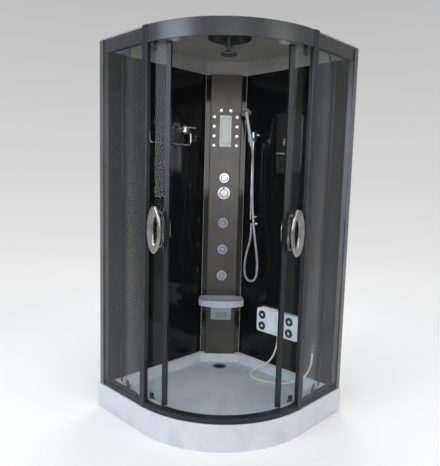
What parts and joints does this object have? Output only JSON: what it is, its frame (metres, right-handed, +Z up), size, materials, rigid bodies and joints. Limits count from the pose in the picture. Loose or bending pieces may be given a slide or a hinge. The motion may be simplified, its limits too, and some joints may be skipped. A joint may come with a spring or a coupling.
{
  "type": "steam shower cabin",
  "caption": "Quadrant corner shower cabin with curved sliding doors, black glass back walls, control column, seat, handset and foot massager.",
  "frame": {"origin": "on the floor, at the middle of the bounding box's base", "axes": "+Z up, -Y out of the doors, +X to the right seen from the front; the room's corner is at +Y"},
  "size_m": [1.4142, 1.1678, 2.15],
  "materials": {
    "white_acrylic": "gloss",
    "frame_paint": "satin",
    "grey_plastic": "matte",
    "black_rail": "satin",
    "satin_grey": "satin",
    "dark_fascia": "satin",
    "satin_aluminium": "satin",
    "clear_glass": "polished",
    "shelf_glass": "polished",
    "black_glass": "polished",
    "column_aluminium": "satin",
    "display_plastic": "gloss",
    "seat_plastic": "satin",
    "chrome": "polished",
    "brass": "cast",
    "silver_hose": "gloss",
    "mirror": "polished",
    "white_plastic": "gloss",
    "black_rubber": "matte",
    "cream_hose": "gloss",
    "roof_plastic": "satin",
    "black_plastic": "matte",
    "generator_case": "matte",
    "stile_aluminium": "satin",
    "hanger_plastic": "satin",
    "wheel_nylon": "matte",
    "chrome_button": "polished",
    "nozzle_plastic": "satin",
    "handset_chrome": "chrome-plated"
  },
  "bodies": {
    "cabin": {"tray": "white_acrylic", "tray_frame": "frame_paint", "waste_trap": "grey_plastic", "bottom_rail": "black_rail", "top_rail": "satin_grey", "fascia": "dark_fascia", "posts": "satin_aluminium", "wall_profiles": "satin_aluminium", "fixed_panes": "clear_glass", "wall_panels": "black_glass", "column": "column_aluminium", "display": "display_plastic", "seat": "seat_plastic", "steam_box": "seat_plastic", "chrome_trims": "chrome", "valve_body": "brass", "riser_rail": "chrome", "shower_hose": "silver_hose", "mirror": "mirror", "shelf_glass": "shelf_glass", "towel_rail": "chrome", "massager_panel": "white_plastic", "massager_rings": "black_rubber", "massager_hose": "cream_hose", "roof": "roof_plastic", "fan_grille": "black_plastic", "roof_lamps": "white_plastic", "steam_generator": "generator_case"},
    "door_left": {"door_glass_left": "clear_glass", "door_edges_left": "stile_aluminium", "door_handle_left": "chrome", "door_hangers_left": "hanger_plastic"},
    "lead_wheel_left": {"lead_wheel_left": "wheel_nylon"},
    "trail_wheel_left": {"trail_wheel_left": "wheel_nylon"},
    "door_right": {"door_glass_right": "clear_glass", "door_edges_right": "stile_aluminium", "door_handle_right": "chrome", "door_hangers_right": "hanger_plastic"},
    "lead_wheel_right": {"lead_wheel_right": "wheel_nylon"},
    "trail_wheel_right": {"trail_wheel_right": "wheel_nylon"},
    "button_1": {"button_1": "chrome_button"},
    "button_2": {"button_2": "chrome_button"},
    "button_3": {"button_3": "chrome_button"},
    "button_4": {"button_4": "chrome_button"},
    "button_5": {"button_5": "chrome_button"},
    "button_6": {"button_6": "chrome_button"},
    "button_7": {"button_7": "chrome_button"},
    "button_8": {"button_8": "chrome_button"},
    "button_9": {"button_9": "chrome_button"},
    "button_10": {"button_10": "chrome_button"},
    "diverter_knob": {"diverter_knob": "chrome"},
    "mixer_lever": {"mixer_lever": "chrome"},
    "jet_nozzle_1": {"jet_nozzle_1": "nozzle_plastic"},
    "jet_nozzle_2": {"jet_nozzle_2": "nozzle_plastic"},
    "jet_nozzle_3": {"jet_nozzle_3": "nozzle_plastic"},
    "handset_slider": {"handset_slider": "handset_chrome"},
    "handset": {"handset": "handset_chrome"},
    "fan_rotor": {"fan_rotor": "black_plastic"},
    "drain_cover": {"drain_cover": "chrome"},
    "top_shower": {"top_shower": "chrome"}
  },
  "joints": [
    {"name": "door_left_travel", "type": "hinge", "parent": "cabin", "child": "door_left", "pos_m": [0.08506, 0.18629, 1], "axis": [0, 0, 1], "range_deg": [0, 23.34]},
    {"name": "lead_wheel_left_roll", "type": "hinge", "parent": "door_left", "child": "lead_wheel_left", "pos_m": [-0.37213, -0.40802, 2.0023], "axis": [-0.5525, -0.8335, 0], "continuous": true},
    {"name": "trail_wheel_left_roll", "type": "hinge", "parent": "door_left", "child": "trail_wheel_left", "pos_m": [-0.52679, -0.25476, 2.0023], "axis": [-0.8285, -0.5601, 0], "continuous": true},
    {"name": "door_right_travel", "type": "hinge", "parent": "cabin", "child": "door_right", "pos_m": [-0.08506, 0.18629, 1], "axis": [0, 0, -1], "range_deg": [0, 23.34]},
    {"name": "lead_wheel_right_roll", "type": "hinge", "parent": "door_right", "child": "lead_wheel_right", "pos_m": [0.37213, -0.40802, 2.0023], "axis": [0.5525, -0.8335, 0], "continuous": true},
    {"name": "trail_wheel_right_roll", "type": "hinge", "parent": "door_right", "child": "trail_wheel_right", "pos_m": [0.52679, -0.25476, 2.0023], "axis": [0.8285, -0.5601, 0], "continuous": true},
    {"name": "button_1_press", "type": "slide", "parent": "cabin", "child": "button_1", "axis": [0, 1, 0], "range_m": [0, 0.0015], "stiffness_N_per_m": 600, "springref_m": -0.001},
    {"name": "button_2_press", "type": "slide", "parent": "cabin", "child": "button_2", "axis": [0, 1, 0], "range_m": [0, 0.0015], "stiffness_N_per_m": 600, "springref_m": -0.001},
    {"name": "button_3_press", "type": "slide", "parent": "cabin", "child": "button_3", "axis": [0, 1, 0], "range_m": [0, 0.0015], "stiffness_N_per_m": 600, "springref_m": -0.001},
    {"name": "button_4_press", "type": "slide", "parent": "cabin", "child": "button_4", "axis": [0, 1, 0], "range_m": [0, 0.0015], "stiffness_N_per_m": 600, "springref_m": -0.001},
    {"name": "button_5_press", "type": "slide", "parent": "cabin", "child": "button_5", "axis": [0, 1, 0], "range_m": [0, 0.0015], "stiffness_N_per_m": 600, "springref_m": -0.001},
    {"name": "button_6_press", "type": "slide", "parent": "cabin", "child": "button_6", "axis": [0, 1, 0], "range_m": [0, 0.0015], "stiffness_N_per_m": 600, "springref_m": -0.001},
    {"name": "button_7_press", "type": "slide", "parent": "cabin", "child": "button_7", "axis": [0, 1, 0], "range_m": [0, 0.0015], "stiffness_N_per_m": 600, "springref_m": -0.001},
    {"name": "button_8_press", "type": "slide", "parent": "cabin", "child": "button_8", "axis": [0, 1, 0], "range_m": [0, 0.0015], "stiffness_N_per_m": 600, "springref_m": -0.001},
    {"name": "button_9_press", "type": "slide", "parent": "cabin", "child": "button_9", "axis": [0, 1, 0], "range_m": [0, 0.0015], "stiffness_N_per_m": 600, "springref_m": -0.001},
    {"name": "button_10_press", "type": "slide", "parent": "cabin", "child": "button_10", "axis": [0, 1, 0], "range_m": [0, 0.0015], "stiffness_N_per_m": 600, "springref_m": -0.001},
    {"name": "diverter_turn", "type": "hinge", "parent": "cabin", "child": "diverter_knob", "pos_m": [0, 0.37927, 1.342], "axis": [0, 1, 0], "range_deg": [-90, 90]},
    {"name": "mixer_turn", "type": "hinge", "parent": "cabin", "child": "mixer_lever", "pos_m": [0, 0.37927, 1.243], "axis": [0, 1, 0], "range_deg": [-60, 60]},
    {"name": "jet_nozzle_1_tilt", "type": "hinge", "parent": "cabin", "child": "jet_nozzle_1", "pos_m": [0, 0.38027, 1.046], "axis": [1, 0, 0], "range_deg": [-12, 12]},
    {"name": "jet_nozzle_2_tilt", "type": "hinge", "parent": "cabin", "child": "jet_nozzle_2", "pos_m": [0, 0.38027, 0.868], "axis": [1, 0, 0], "range_deg": [-12, 12]},
    {"name": "jet_nozzle_3_tilt", "type": "hinge", "parent": "cabin", "child": "jet_nozzle_3", "pos_m": [0, 0.38027, 0.69], "axis": [1, 0, 0], "range_deg": [-12, 12]},
    {"name": "handset_slide", "type": "slide", "parent": "cabin", "child": "handset_slider", "axis": [0, 0, 1], "range_m": [-0.36, 0], "deforming": ["shower_hose"]},
    {"name": "handset_tilt", "type": "hinge", "parent": "handset_slider", "child": "handset", "pos_m": [0.16546, 0.26427, 1.588], "axis": [0.7071, -0.7071, 0], "range_deg": [-10, 12]},
    {"name": "fan_spin", "type": "hinge", "parent": "cabin", "child": "fan_rotor", "pos_m": [0, -0.12112, 2.108], "axis": [0, 0, 1], "continuous": true},
    {"name": "drain_cover_lift", "type": "slide", "parent": "cabin", "child": "drain_cover", "axis": [0, 0, 1], "range_m": [0, 0.03]},
    {"name": "top_shower_tilt", "type": "hinge", "parent": "cabin", "child": "top_shower", "pos_m": [0, 0.02588, 2.058], "axis": [1, 0, 0], "range_deg": [-12, 12]}
  ],
  "couplings": [
    {"joint": "lead_wheel_left_roll", "follows": "door_left_travel", "ratio": -62.33},
    {"joint": "trail_wheel_left_roll", "follows": "door_left_travel", "ratio": -62.825},
    {"joint": "lead_wheel_right_roll", "follows": "door_right_travel", "ratio": 62.33},
    {"joint": "trail_wheel_right_roll", "follows": "door_right_travel", "ratio": 62.825}
  ]
}
